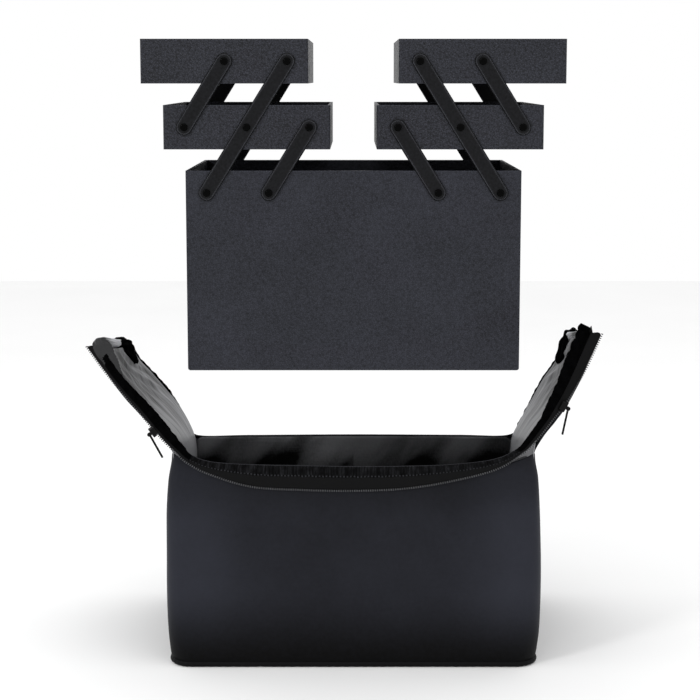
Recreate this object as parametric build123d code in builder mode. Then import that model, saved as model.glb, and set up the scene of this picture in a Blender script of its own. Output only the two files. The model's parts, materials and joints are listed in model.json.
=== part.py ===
"""Makeup train case: a rigid box with cantilever trays inside a soft zip bag.

The bag stands on the floor at z = 0, with its open mouth towards +Z. The box hangs
above it, lifted out, and its four trays stand part-way open on riveted links.
X is the long way, the front faces -Y. All sizes are in millimetres.
"""
import os
from math import atan2, cos, hypot, radians, sin

from build123d import *

os.makedirs("parts", exist_ok=True)

# Rigid box
case_length = 336
case_depth = 210
case_height = 202.5
case_wall = 3
case_corner = 2.5
case_hollow_corner = 1
case_pad = 2
case_base = 308.5

# Trays and links
tray_height = 44
tray_wall = 2.5
tray_floor = 2.5
tray_corner = 2
tray_gap = 1
tray_split = 3
tray_pad = 1.5
pad_play = 0.5
pin_inset = 21
link_angle = 58.2
link_width = 16
link_thickness = 2
link_bevel = 0.7
link_stand_off = 0.5
shank_radius = 2
pivot_play = 0.05
head_radius = 3.8
head_height = 2
head_round = 1.5
head_play = 0.3
clinch_radius = 3
clinch_height = 1

# Soft bag
bag_length = 380
bag_depth = 240
bag_corner = 22
panel_thickness = 4
lining_thickness = 3
lining_play = 0.3
base_thickness = 3
board_thickness = 4
floor_padding = 7.5
piping_height = 6.5
piping_proud = 1
seat_play = 0.2
rim_front = 222
rim_rear = 190
front_sag = 11
rear_sag = 3
front_band = 24
rear_band = 20
band_end = 8
binding_thickness = 2
tape_thickness = 1.2
teeth_size = 2.4

# End flaps of the bag's mouth, with the zip's two sliders
flap_inset = 16
flap_reach = 136
flap_hinge_rise = 6
flap_hinge_play = 10
flap_lining_start = 16
flap_thickness = 3
flap_lining = 2
flap_round = 6
flare = {"left": 37.5, "right": 29.5}
tape_width = 10
binding_width = 6.6
hem_width = 7
hem_thickness = 6
slider_place = {"left": 26, "right": 53}
slider_length = 11
slider_wall = 1.5
slider_play = 0.3
slider_grip = 4
slider_nose = 2.5
lug_thickness = 1
lug_length = 3
bridge_radius = 0.9
bridge_rise = 2.5
puller_bore_play = 0.1
puller_eye = 2.2
puller_thickness = 1.6
puller_width = 4
puller_length = 27
puller_angle = {"left": 8, "right": 17}

SIDES = {"left": -1, "right": 1}
FACES = {"front": 1, "rear": -1}

# Places that follow from the sizes
case_top = case_base + case_height
tray_length = (case_length - tray_split) / 2
pin_pitch = (tray_length - 2 * pin_inset) / 2
stack_pitch = tray_height + tray_gap
link_length = hypot(pin_pitch, stack_pitch)
link_run = link_length * cos(radians(link_angle))
link_rise = link_length * sin(radians(link_angle))
case_pin_height = case_top + tray_gap + tray_height / 2 - stack_pitch
tray_shift = pin_pitch - link_run
tray_lift = link_rise - stack_pitch

rim_slope = atan2(rim_front - rim_rear, bag_depth)
rim_middle = (rim_front + rim_rear) / 2
rim_plane = Plane(origin=(0, 0, rim_middle), x_dir=(1, 0, 0), z_dir=(0, sin(rim_slope), cos(rim_slope)))
flat_end = bag_length / 2 - bag_corner
lining_length = bag_length - 2 * panel_thickness - 2 * lining_play
lining_depth = bag_depth - 2 * panel_thickness - 2 * lining_play
lining_corner = bag_corner - panel_thickness - lining_play
lining_base = base_thickness + board_thickness
hinge_x = bag_length / 2 - panel_thickness
hinge_z = rim_middle + flap_hinge_rise
flap_half = bag_depth / 2 - flap_inset
sheet_middle = flap_thickness / 2


def tray_outer_end(sign, level):
    """X of a tray's outer end, for level 1 (lower) or 2 (upper)."""
    return sign * (case_length / 2 + level * tray_shift)


def tray_bottom(level):
    """Z of a tray's underside, for level 1 (lower) or 2 (upper)."""
    return case_top + tray_gap + (level - 1) * stack_pitch + level * tray_lift


def case_pins(sign):
    """The (x, z) places of the box's two pins on one side, outer pin first."""
    outer = sign * (case_length / 2 - pin_inset)
    return [(outer - sign * step * pin_pitch, case_pin_height) for step in range(2)]


def tray_pins(sign, level):
    """The (x, z) places of a tray's three possible pins, outer pin first."""
    outer = tray_outer_end(sign, level) - sign * pin_inset
    height = tray_bottom(level) + tray_height / 2
    return [(outer - sign * step * pin_pitch, height) for step in range(3)]


def rivets(points, wall):
    """Domed rivets through the front and rear walls of the box or of a tray.

    Args:
        points: (x, z) places of the rivets.
        wall: thickness of the wall that each rivet is clinched behind.
    """
    grip = wall + link_stand_off + link_thickness + head_play
    with BuildPart() as set_of_rivets:
        for facing in FACES.values():
            inside = Plane.XZ.offset(facing * (case_depth / 2 - wall))
            with BuildSketch(inside):
                with Locations(*points):
                    Circle(clinch_radius)
            extrude(amount=-facing * clinch_height)
            with BuildSketch(inside):
                with Locations(*points):
                    Circle(shank_radius)
            extrude(amount=facing * grip)
            with BuildSketch(inside.offset(facing * grip)):
                with Locations(*points):
                    Circle(head_radius)
            extrude(amount=facing * head_height)
        crowns = set_of_rivets.faces().group_by(Axis.Y)
        fillet((crowns[0] + crowns[-1]).edges(), head_round)
    return set_of_rivets


def links(sign, start, spans):
    """A front and rear pair of round-ended links that lean inwards from a pin.

    Args:
        sign: -1 for the left side, 1 for the right.
        start: (x, z) place of the lowest pin.
        spans: number of pin spacings that the link covers.
    """
    length = spans * link_length
    lean = (-sign * cos(radians(link_angle)), 0, sin(radians(link_angle)))
    with BuildPart() as pair:
        for facing in FACES.values():
            stand = case_depth / 2 + link_stand_off
            face = Plane(origin=(start[0], -facing * stand, start[1]), x_dir=lean, z_dir=(0, -facing, 0))
            with BuildSketch(face):
                with Locations((length / 2, 0)):
                    SlotCenterToCenter(length, link_width)
                with Locations(*[(step * link_length, 0) for step in range(spans + 1)]):
                    Circle(shank_radius + pivot_play, mode=Mode.SUBTRACT)
            extrude(amount=link_thickness)
        shown = pair.faces().group_by(Axis.Y)
        chamfer([edge for face in shown[0] + shown[-1] for edge in face.outer_wire().edges()], link_bevel)
    return pair


# ---------------------------------------------------------------- rigid box
with BuildPart() as case_wrap:
    with BuildSketch(Plane.XZ) as wrap_outline:
        with Locations((0, case_base + case_height / 2)):
            Rectangle(case_length, case_height)
        fillet(wrap_outline.vertices().group_by(Axis.Y)[0], case_corner)
    extrude(amount=case_depth / 2 - case_wall, both=True)
    with BuildSketch(Plane.XZ) as wrap_hollow:
        with Locations((0, case_base + case_wall + case_height / 2)):
            Rectangle(case_length - 2 * case_wall, case_height)
        fillet(wrap_hollow.vertices().group_by(Axis.Y)[0], case_hollow_corner)
    extrude(amount=case_depth / 2, both=True, mode=Mode.SUBTRACT)
case_wrap.part.label = "case_wrap"
export_step(case_wrap.part, "parts/case_wrap.step")

for face, facing in FACES.items():
    with BuildPart() as case_board:
        with BuildSketch(Plane.XZ.offset(facing * case_depth / 2)) as board_outline:
            with Locations((0, case_base + case_height / 2)):
                Rectangle(case_length, case_height)
            fillet(board_outline.vertices().group_by(Axis.Y)[0], case_corner)
            with Locations(*case_pins(-1), *case_pins(1)):
                Circle(shank_radius, mode=Mode.SUBTRACT)
        extrude(amount=-facing * case_wall)
    case_board.part.label = f"case_{face}_board"
    export_step(case_board.part, f"parts/case_{face}_board.step")

with BuildPart() as case_floor_pad:
    with BuildSketch(Plane.XY.offset(case_base + case_wall)):
        pad_inset = 2 * (case_wall + case_hollow_corner + pad_play)
        Rectangle(case_length - pad_inset, case_depth - 2 * (case_wall + pad_play))
    extrude(amount=case_pad)
case_floor_pad.part.label = "case_floor_pad"
export_step(case_floor_pad.part, "parts/case_floor_pad.step")

case_rivets = rivets(case_pins(-1) + case_pins(1), case_wall)
case_rivets.part.label = "case_rivets"
export_step(case_rivets.part, "parts/case_rivets.step")

# ---------------------------------------------------------------- trays and links
for side, sign in SIDES.items():
    for level, name in ((1, "lower"), (2, "upper")):
        middle = tray_outer_end(sign, level) - sign * tray_length / 2
        bottom = tray_bottom(level)
        pins = tray_pins(sign, level)
        if level == 2:
            pins = pins[1:]

        with BuildPart() as tray:
            with BuildSketch(Plane.XY.offset(bottom)):
                with Locations((middle, 0)):
                    RectangleRounded(tray_length, case_depth, tray_corner)
            extrude(amount=tray_height)
            with BuildSketch(Plane.XY.offset(bottom + tray_floor)):
                with Locations((middle, 0)):
                    Rectangle(tray_length - 2 * tray_wall, case_depth - 2 * tray_wall)
            extrude(amount=tray_height, mode=Mode.SUBTRACT)
            with BuildSketch(Plane.XZ):
                with Locations(*pins):
                    Circle(shank_radius)
            extrude(amount=case_depth, both=True, mode=Mode.SUBTRACT)
        tray.part.label = f"{name}_{side}_tray"
        export_step(tray.part, f"parts/{name}_{side}_tray.step")

        with BuildPart() as tray_mat:
            with BuildSketch(Plane.XY.offset(bottom + tray_floor)):
                with Locations((middle, 0)):
                    inset = 2 * (tray_wall + pad_play)
                    Rectangle(tray_length - inset, case_depth - inset)
            extrude(amount=tray_pad)
        tray_mat.part.label = f"{name}_{side}_tray_pad"
        export_step(tray_mat.part, f"parts/{name}_{side}_tray_pad.step")

        tray_rivets = rivets(pins, tray_wall)
        tray_rivets.part.label = f"{name}_{side}_tray_rivets"
        export_step(tray_rivets.part, f"parts/{name}_{side}_tray_rivets.step")

    long_links = links(sign, case_pins(sign)[0], 2)
    long_links.part.label = f"{side}_long_links"
    export_step(long_links.part, f"parts/{side}_long_links.step")

    inner_links = links(sign, case_pins(sign)[1], 1)
    inner_links.part.label = f"{side}_inner_links"
    export_step(inner_links.part, f"parts/{side}_inner_links.step")

    outer_links = links(sign, tray_pins(sign, 1)[0], 1)
    outer_links.part.label = f"{side}_outer_links"
    export_step(outer_links.part, f"parts/{side}_outer_links.step")

# ---------------------------------------------------------------- bag: base and walls
with BuildPart() as bag_piping:
    with BuildSketch():
        proud = 2 * piping_proud
        RectangleRounded(bag_length + proud, bag_depth + proud, bag_corner + piping_proud)
        inside = 2 * panel_thickness
        inner_corner = bag_corner - panel_thickness
        RectangleRounded(bag_length - inside, bag_depth - inside, inner_corner, mode=Mode.SUBTRACT)
    extrude(amount=piping_height)
    fillet(bag_piping.edges().group_by(Axis.Z)[-1].sort_by(SortBy.LENGTH)[-1], piping_proud / 2)
bag_piping.part.label = "bag_piping"
export_step(bag_piping.part, "parts/bag_piping.step")

with BuildPart() as bag_base:
    with BuildSketch():
        RectangleRounded(bag_length - inside, bag_depth - inside, inner_corner)
    extrude(amount=base_thickness)
bag_base.part.label = "bag_base"
export_step(bag_base.part, "parts/bag_base.step")

with BuildPart() as bag_board:
    with BuildSketch(Plane.XY.offset(base_thickness)):
        RectangleRounded(lining_length, lining_depth, lining_corner)
    extrude(amount=board_thickness)
bag_board.part.label = "bag_board"
export_step(bag_board.part, "parts/bag_board.step")

for side, sign in SIDES.items():
    with BuildPart() as bag_end:
        with BuildSketch(Plane.XY.offset(piping_height)):
            RectangleRounded(bag_length, bag_depth, bag_corner)
            RectangleRounded(bag_length - inside, bag_depth - inside, inner_corner, mode=Mode.SUBTRACT)
            with Locations((flat_end * sign - bag_length * sign, 0)):
                Rectangle(2 * bag_length, 2 * bag_depth, mode=Mode.SUBTRACT)
        extrude(amount=rim_front)
        split(bisect_by=rim_plane, keep=Keep.BOTTOM)
    bag_end.part.label = f"bag_{side}_panel"
    export_step(bag_end.part, f"parts/bag_{side}_panel.step")


def rim_curve(rim, sag, drop, end_drop):
    """A line across the bag's mouth that sags in the middle, made inside a BuildLine.

    Args:
        rim: height of the rim at its ends.
        sag: how far the rim hangs in the middle.
        drop: distance below the rim in the middle.
        end_drop: distance below the rim at the ends.
    """
    ends = rim - end_drop
    return ThreePointArc((-flat_end, ends), (0, rim - sag - drop), (flat_end, ends))


def rim_strip(face, upper, lower, thickness):
    """A strip on the outside of the front or rear wall that follows the sagging rim.

    Args:
        face: "front" or "rear".
        upper: (middle, end) distances of the strip's top below the rim.
        lower: (middle, end) distances of its bottom below the rim.
        thickness: how far the strip stands off the wall.
    """
    rim, sag, _ = mouths[face]
    with BuildPart() as strip:
        with BuildSketch(Plane.XZ.offset(FACES[face] * bag_depth / 2)):
            with BuildLine():
                top = rim_curve(rim, sag, *upper)
                bottom = rim_curve(rim, sag, *lower)
                Line(top @ 0, bottom @ 0)
                Line(top @ 1, bottom @ 1)
            make_face()
        extrude(amount=FACES[face] * thickness)
    return strip


mouths = {"front": (rim_front, front_sag, front_band), "rear": (rim_rear, rear_sag, rear_band)}
for face, facing in FACES.items():
    rim, sag, band_height = mouths[face]
    outside = Plane.XZ.offset(facing * bag_depth / 2)

    with BuildPart() as bag_panel:
        with BuildSketch(outside):
            with BuildLine():
                top = rim_curve(rim, sag, 0, 0)
                Polyline(top @ 0, (-flat_end, piping_height), (flat_end, piping_height), top @ 1)
            make_face()
        extrude(amount=-facing * panel_thickness)
    bag_panel.part.label = f"bag_{face}_panel"
    export_step(bag_panel.part, f"parts/bag_{face}_panel.step")

    seam = (band_height / 2, band_end / 2)
    edge = (band_height, band_end)
    rim_binding = rim_strip(face, (0, 0), seam, binding_thickness)
    rim_binding.part.label = f"{face}_binding"
    export_step(rim_binding.part, f"parts/{face}_binding.step")

    rim_tape = rim_strip(face, seam, edge, tape_thickness)
    rim_tape.part.label = f"{face}_zip_tape"
    export_step(rim_tape.part, f"parts/{face}_zip_tape.step")

    rim_teeth = rim_strip(face, edge, (band_height + teeth_size, band_end + teeth_size), teeth_size)
    rim_teeth.part.label = f"{face}_zip_teeth"
    export_step(rim_teeth.part, f"parts/{face}_zip_teeth.step")

with BuildPart() as bag_lining:
    with BuildSketch(Plane.XY.offset(lining_base)):
        RectangleRounded(lining_length, lining_depth, lining_corner)
    extrude(amount=rim_front)
    with BuildSketch(Plane.XY.offset(lining_base + floor_padding)):
        hollow = 2 * lining_thickness
        hollow_corner = lining_corner - lining_thickness
        RectangleRounded(lining_length - hollow, lining_depth - hollow, hollow_corner)
    extrude(amount=rim_front, mode=Mode.SUBTRACT)
    split(bisect_by=rim_plane, keep=Keep.BOTTOM)
    for face, facing in FACES.items():
        rim, sag, band_height = mouths[face]
        with BuildSketch(Plane.XZ.offset(facing * bag_depth / 2)):
            with BuildLine():
                dip = rim_curve(rim, sag, 0, 0)
                Polyline(dip @ 0, (-flat_end, 2 * rim), (flat_end, 2 * rim), dip @ 1)
            make_face()
        extrude(amount=-facing * bag_corner, mode=Mode.SUBTRACT)
bag_lining.part.label = "bag_lining"
export_step(bag_lining.part, "parts/bag_lining.step")

# ---------------------------------------------------------------- bag: end flaps, sliders and pullers
hinge_line = Vector(0, cos(rim_slope), -sin(rim_slope))
flap_up = Vector(0, sin(rim_slope), cos(rim_slope))
hem_start = flap_reach - hem_width
strip_length = hem_start - flap_hinge_play
strip_middle = (hem_start + flap_hinge_play) / 2
teeth_line = flap_half + tape_width + teeth_size / 2

for side, sign in SIDES.items():
    outwards = Vector(sign, 0, 0)
    opening = radians(flare[side])
    reach = flap_up * cos(opening) + outwards * sin(opening)
    skin = outwards * cos(opening) - flap_up * sin(opening)
    flap = Plane(origin=(sign * hinge_x, 0, hinge_z), x_dir=hinge_line * sign, z_dir=skin)

    with BuildPart() as flap_panel:
        with BuildSketch(flap):
            with Locations((0, strip_middle)):
                Rectangle(2 * flap_half, strip_length)
        extrude(amount=flap_thickness)
    flap_panel.part.label = f"{side}_flap"
    export_step(flap_panel.part, f"parts/{side}_flap.step")

    with BuildPart() as flap_inside:
        with BuildSketch(flap):
            with Locations((0, (hem_start + flap_lining_start) / 2)):
                Rectangle(2 * (flap_half - flap_lining), hem_start - flap_lining_start)
        extrude(amount=-flap_lining)
    flap_inside.part.label = f"{side}_flap_lining"
    export_step(flap_inside.part, f"parts/{side}_flap_lining.step")

    with BuildPart() as flap_binding:
        with BuildSketch(flap):
            binding_x = flap_half - flap_lining + lining_play + binding_width / 2
            binding_y = (hem_start + flap_lining_start) / 2
            with Locations((-binding_x, binding_y), (binding_x, binding_y)):
                Rectangle(binding_width, hem_start - flap_lining_start)
        extrude(amount=-flap_lining)
    flap_binding.part.label = f"{side}_flap_binding"
    export_step(flap_binding.part, f"parts/{side}_flap_binding.step")

    with BuildPart() as flap_tape:
        with BuildSketch(flap.offset(sheet_middle - tape_thickness / 2)):
            tape_x = flap_half + tape_width / 2
            with Locations((-tape_x, strip_middle), (tape_x, strip_middle)):
                Rectangle(tape_width, strip_length)
        extrude(amount=tape_thickness)
    flap_tape.part.label = f"{side}_flap_tape"
    export_step(flap_tape.part, f"parts/{side}_flap_tape.step")

    with BuildPart() as flap_teeth:
        with BuildSketch(flap.offset(sheet_middle - teeth_size / 2)):
            with Locations((-teeth_line, strip_middle), (teeth_line, strip_middle)):
                Rectangle(teeth_size, strip_length)
        extrude(amount=teeth_size)
    flap_teeth.part.label = f"{side}_flap_teeth"
    export_step(flap_teeth.part, f"parts/{side}_flap_teeth.step")

    with BuildPart() as flap_hem:
        with BuildSketch(flap.offset(sheet_middle - hem_thickness / 2)):
            with Locations((0, hem_start + hem_width / 2)):
                RectangleRounded(2 * (flap_half + tape_width), hem_width, hem_width / 3)
        extrude(amount=hem_thickness)
    flap_hem.part.label = f"{side}_flap_hem"
    export_step(flap_hem.part, f"parts/{side}_flap_hem.step")

    # The slider straddles the teeth at the flap's front edge: a block with a slot for them.
    slot_height = teeth_size + 2 * slider_play
    slider_height = slot_height + 2 * slider_wall
    slot_depth = slider_grip + teeth_size + 2 * slider_play
    slider_depth = slot_depth + slider_nose
    slot_start = flap_half + tape_width - slider_grip
    track = Vector(-sign * (slot_start + slider_depth / 2), slider_place[side], sheet_middle)
    slider_centre = flap.from_local_coords(track)
    across = Plane(origin=slider_centre, x_dir=-hinge_line, z_dir=skin)

    with BuildPart() as slider:
        with BuildSketch(across.offset(-slider_height / 2)):
            RectangleRounded(slider_depth, slider_length, slider_nose)
        extrude(amount=slider_height)
        with BuildSketch(across.offset(-slot_height / 2)):
            with Locations(((slot_depth - slider_depth) / 2, 0)):
                Rectangle(slot_depth, 2 * slider_length)
        extrude(amount=slot_height, mode=Mode.SUBTRACT)
        lug_x = (puller_width + lug_thickness) / 2 + slider_play
        lug_height = bridge_rise + bridge_radius
        with BuildSketch(across.offset(slider_height / 2)):
            with Locations((-lug_x, 0), (lug_x, 0)):
                Rectangle(lug_thickness, lug_length)
        extrude(amount=lug_height)
        bridge = slider_centre + skin * (slider_height / 2 + bridge_rise)
        with BuildSketch(Plane(origin=bridge, x_dir=reach, z_dir=-hinge_line)):
            Circle(bridge_radius)
        extrude(amount=lug_x, both=True)
    slider.part.label = f"{side}_slider"
    export_step(slider.part, f"parts/{side}_slider.step")

    hang = radians(puller_angle[side])
    along = skin * sin(hang) - reach * cos(hang)
    with BuildPart() as puller:
        with BuildSketch(Plane(origin=bridge, x_dir=along, z_dir=-hinge_line)):
            Circle(puller_eye)
            with Locations((puller_length / 2, 0)):
                Rectangle(puller_length, puller_thickness)
            Circle(bridge_radius + puller_bore_play, mode=Mode.SUBTRACT)
        extrude(amount=puller_width / 2, both=True)
    puller.part.label = f"{side}_puller"
    export_step(puller.part, f"parts/{side}_puller.step")
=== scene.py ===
"""The makeup train case in Blender: a lift-out box of trays above its open zip bag.

Every length is in metres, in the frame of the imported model: +Z up, the front faces -Y.
"""

import json
import logging
import math
from dataclasses import dataclass
from enum import Enum
from typing import Callable, Sequence, Union

import bpy
from mathutils import Matrix, Vector, noise


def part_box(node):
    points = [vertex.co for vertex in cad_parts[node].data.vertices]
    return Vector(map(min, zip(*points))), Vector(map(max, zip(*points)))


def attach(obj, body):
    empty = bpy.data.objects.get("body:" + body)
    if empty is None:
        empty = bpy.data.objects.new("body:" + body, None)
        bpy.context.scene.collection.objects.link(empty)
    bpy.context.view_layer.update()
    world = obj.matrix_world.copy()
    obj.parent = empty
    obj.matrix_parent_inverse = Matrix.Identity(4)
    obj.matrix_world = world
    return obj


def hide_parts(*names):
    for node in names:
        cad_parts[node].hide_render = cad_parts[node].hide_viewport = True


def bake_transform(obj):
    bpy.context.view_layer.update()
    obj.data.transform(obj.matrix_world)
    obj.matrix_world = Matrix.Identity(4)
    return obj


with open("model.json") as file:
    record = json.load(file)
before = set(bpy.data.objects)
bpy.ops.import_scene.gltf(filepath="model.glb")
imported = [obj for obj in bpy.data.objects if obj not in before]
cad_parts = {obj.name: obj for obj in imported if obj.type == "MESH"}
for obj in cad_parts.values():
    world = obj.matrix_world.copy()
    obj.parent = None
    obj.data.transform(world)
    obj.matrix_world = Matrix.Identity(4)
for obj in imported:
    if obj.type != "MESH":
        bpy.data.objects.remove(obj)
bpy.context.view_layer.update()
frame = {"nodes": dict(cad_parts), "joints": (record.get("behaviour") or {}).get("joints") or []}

log = logging.getLogger("train_case")
MM = 0.001
TOOTH_PITCH = 2.3
CAMERA_PLACE = (0.0, -1.690, 0.604)
CAMERA_DIP = 7.3
LENS_LENGTH, SENSOR_WIDTH = 81.5, 36.0
LAMPS = (
    ("key", (-1.3, -1.3, 1.3), 0.35, 10.0),
    ("fill", (0.9, -1.2, 0.9), 0.9, 1.5),
    ("top", (0.0, 0.1, 1.8), 1.2, 7.0),
)

Place = Callable[[float, float], Vector]
Number = Union[float, "Wire"]


class Side(Enum):
    """The two ends of the bag, with the sign of X on each."""

    LEFT = -1
    RIGHT = 1

    @property
    def word(self) -> str:
        """The side's name as the bodies and nodes spell it."""
        return self.name.lower()


class Face(Enum):
    """The two long walls of the bag, with the sign of Y on each."""

    FRONT = -1
    REAR = 1

    @property
    def word(self) -> str:
        """The wall's name as the nodes spell it."""
        return self.name.lower()


# ---------------------------------------------------------------- shader kit
@dataclass
class Wire:
    """A number that varies over a surface: one output socket, with arithmetic."""

    nodes: "NodeBook"
    socket: bpy.types.NodeSocket

    def _sum(self, operation: str, *values: Number) -> "Wire":
        """Adds one Math node.

        Args:
            operation: the Math node's operation.
            values: its inputs, in order.

        Returns:
            The node's value.
        """
        return self.nodes.add("ShaderNodeMath", {"operation": operation}, dict(enumerate(values)))

    def __add__(self, other: Number) -> "Wire":
        """This plus other."""
        return self._sum("ADD", self, other)

    def __radd__(self, other: Number) -> "Wire":
        """Other plus this."""
        return self._sum("ADD", other, self)

    def __sub__(self, other: Number) -> "Wire":
        """This minus other."""
        return self._sum("SUBTRACT", self, other)

    def __rsub__(self, other: Number) -> "Wire":
        """Other minus this."""
        return self._sum("SUBTRACT", other, self)

    def __mul__(self, other: Number) -> "Wire":
        """This times other."""
        return self._sum("MULTIPLY", self, other)

    def __rmul__(self, other: Number) -> "Wire":
        """Other times this."""
        return self._sum("MULTIPLY", other, self)

    def __pow__(self, other: Number) -> "Wire":
        """This to the power of other."""
        return self._sum("POWER", self, other)

    def sine(self) -> "Wire":
        """The sine of this, in radians."""
        return self._sum("SINE", self)

    def size(self) -> "Wire":
        """The absolute value."""
        return self._sum("ABSOLUTE", self)

    def larger(self, other: Number) -> "Wire":
        """The larger of this and other."""
        return self._sum("MAXIMUM", self, other)

    def step(self, low: float, high: float) -> "Wire":
        """A smooth step from 0 at low to 1 at high."""
        settings = {"interpolation_type": "SMOOTHSTEP"}
        return self.nodes.add("ShaderNodeMapRange", settings, {0: self, 1: low, 2: high, 3: 0.0, 4: 1.0})


class NodeBook:
    """The node tree of one new material."""

    def __init__(self, name: str) -> None:
        """Starts an empty material.

        Args:
            name: the material's name.
        """
        self.material = bpy.data.materials.new(name)
        self.material.use_nodes = True
        self.tree = self.material.node_tree
        self.tree.nodes.clear()

    def add(self, kind: str, settings: dict, values: dict, output: Union[int, str] = 0) -> Wire:
        """Adds any node.

        Args:
            kind: the node's type.
            settings: its properties, set first; "ramp" holds a ramp's (place, colour) stops.
            values: input name or number to a value, a vector or a Wire.
            output: name or number of the output that is returned.

        Returns:
            The wire that leaves the chosen output.
        """
        node = self.tree.nodes.new(kind)
        for key, value in settings.items():
            if key == "ramp":
                self._fill_ramp(node.color_ramp, value)
            else:
                setattr(node, key, value)
        for key, value in values.items():
            socket = node.inputs[key]
            if isinstance(value, Wire):
                self.tree.links.new(value.socket, socket)
            else:
                socket.default_value = value
        return Wire(self, node.outputs[output])

    @staticmethod
    def _fill_ramp(ramp: bpy.types.ColorRamp, stops: Sequence[tuple]) -> None:
        """Sets a ramp's stops from (place, grey or colour) pairs.

        Args:
            ramp: the ramp to set.
            stops: the (place, grey or colour) pairs, in order.
        """
        while len(ramp.elements) < len(stops):
            ramp.elements.new(0.5)
        for element, (place, colour) in zip(ramp.elements, stops):
            element.position = place
            element.color = (*colour, 1.0) if isinstance(colour, tuple) else (colour, colour, colour, 1.0)

    def place(self) -> Wire:
        """Object coordinates, which stay with the piece."""
        return self.add("ShaderNodeTexCoord", {}, {}, "Object")

    def uv(self) -> tuple[Wire, Wire]:
        """The piece's own UV map, as two numbers."""
        both = self.add("ShaderNodeTexCoord", {}, {}, "UV")
        return self.add("ShaderNodeSeparateXYZ", {}, {0: both}, 0), self.add("ShaderNodeSeparateXYZ", {}, {0: both}, 1)

    def noise(self, scale: float, detail: float = 3.0, vector: Wire | None = None, rough: float = 0.5) -> Wire:
        """Fractal noise from 0 to 1.

        Args:
            scale: features per metre.
            detail: octaves.
            vector: coordinates, or None for the object's own.
            rough: share of each finer octave.

        Returns:
            The noise value.
        """
        values = {"Vector": vector or self.place(), "Scale": scale, "Detail": detail, "Roughness": rough}
        return self.add("ShaderNodeTexNoise", {}, values, "Fac")

    def cells(self, scale: float, vector: Wire | None = None, feature: str = "F1") -> Wire:
        """Distance in a Voronoi pattern of scale cells per metre."""
        values = {"Vector": vector or self.place(), "Scale": scale}
        return self.add("ShaderNodeTexVoronoi", {"feature": feature}, values, "Distance")

    def blend(self, factor: Number, low: tuple, high: tuple) -> Wire:
        """A colour that goes from low to high.

        Args:
            factor: 0 gives low, 1 gives high.
            low: first colour, linear RGB.
            high: second colour, linear RGB.

        Returns:
            The mixed colour.
        """
        values = {0: factor, 6: (*low, 1.0), 7: (*high, 1.0)}
        return self.add("ShaderNodeMix", {"data_type": "RGBA"}, values, 2)

    def bump(self, height: Wire, depth: float, strength: float = 1.0, under: Wire | None = None) -> Wire:
        """Turns a height into a normal.

        Args:
            height: the height from 0 to 1.
            depth: the relief in metres.
            strength: share of the effect.
            under: a normal that this one is laid over.

        Returns:
            The normal.
        """
        values = {"Height": height, "Distance": depth, "Strength": strength}
        if under is not None:
            values["Normal"] = under
        return self.add("ShaderNodeBump", {}, values, "Normal")

    def edge(self, radius: float) -> Wire:
        """How near a sharp edge is, from 0 on open faces up to about 0.3 on the edge.

        Args:
            radius: reach in metres.

        Returns:
            The nearness.
        """
        rounded = self.add("ShaderNodeBevel", {"samples": 6}, {"Radius": radius})
        true = self.add("ShaderNodeNewGeometry", {}, {}, "True Normal")
        both = self.add("ShaderNodeVectorMath", {"operation": "DOT_PRODUCT"}, {0: rounded, 1: true}, "Value")
        return 1.0 - both

    def close(self, colour: Wire, roughness: Number, normal: Wire, **fixed: float) -> bpy.types.Material:
        """Ends the tree in one shader.

        Args:
            colour: base colour.
            roughness: roughness.
            normal: surface normal.
            fixed: other sockets of the shader, with spaces written as underscores.

        Returns:
            The finished material.
        """
        values = {"Base Color": colour, "Roughness": roughness, "Normal": normal}
        values.update({key.replace("_", " "): value for key, value in fixed.items()})
        shader = self.add("ShaderNodeBsdfPrincipled", {}, values)
        output = self.tree.nodes.new("ShaderNodeOutputMaterial")
        self.tree.links.new(shader.socket, output.inputs[0])
        return self.material


# ---------------------------------------------------------------- finishes
def grey(level: float, blue: float = 1.0) -> tuple:
    """A linear grey, with blue times as much blue."""
    return (level, level * (0.85 + 0.15 * blue), level * blue)


@dataclass(frozen=True)
class Grained:
    """Embossed leather cloth: small pebbles between creases, speckled, with faint scuffs and a painted highlight along
    its sharp edges.

    Attributes:
        name: the finish's name.
        tone: linear grey of the tops.
        scale: pebbles per metre.
        depth: relief in metres.
        speckle: how much single pebbles differ.
        gloss: the shader's specular level.
        rough: mean roughness.
    """

    name: str
    tone: float
    scale: float
    depth: float
    speckle: float
    gloss: float
    rough: float

    def make(self) -> bpy.types.Material:
        """Builds the material.

        Returns:
            The material.
        """
        book = NodeBook(self.name)
        crease = book.cells(self.scale, None, "DISTANCE_TO_EDGE").step(0.0, 0.3)
        pebble = book.noise(self.scale * 0.8, 3.0, None, 0.65)
        cloud = book.noise(11.0, 4.0, None, 0.6)
        scuff = book.noise(55.0, 5.0, None, 0.7).step(0.6, 0.78)
        shade = (
            0.4 + (pebble - 0.5) * self.speckle + (crease - 0.6) * self.speckle * 0.3
            + (cloud - 0.5) * 0.45 + scuff * 0.1
        )
        # painted highlight: the faces turn lighter along their sharp edges
        shade = shade + book.edge(0.0012).step(0.004, 0.05) * 0.35
        colour = book.blend(shade.larger(0.0), grey(self.tone * 0.25, 1.4), grey(self.tone * 2.1, 1.4))
        rough = self.rough + (cloud - 0.5) * 0.2 - (pebble - 0.5) * 0.2
        return book.close(colour, rough, book.bump(crease * 0.5 + pebble, self.depth), Specular_IOR_Level=self.gloss)


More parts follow.
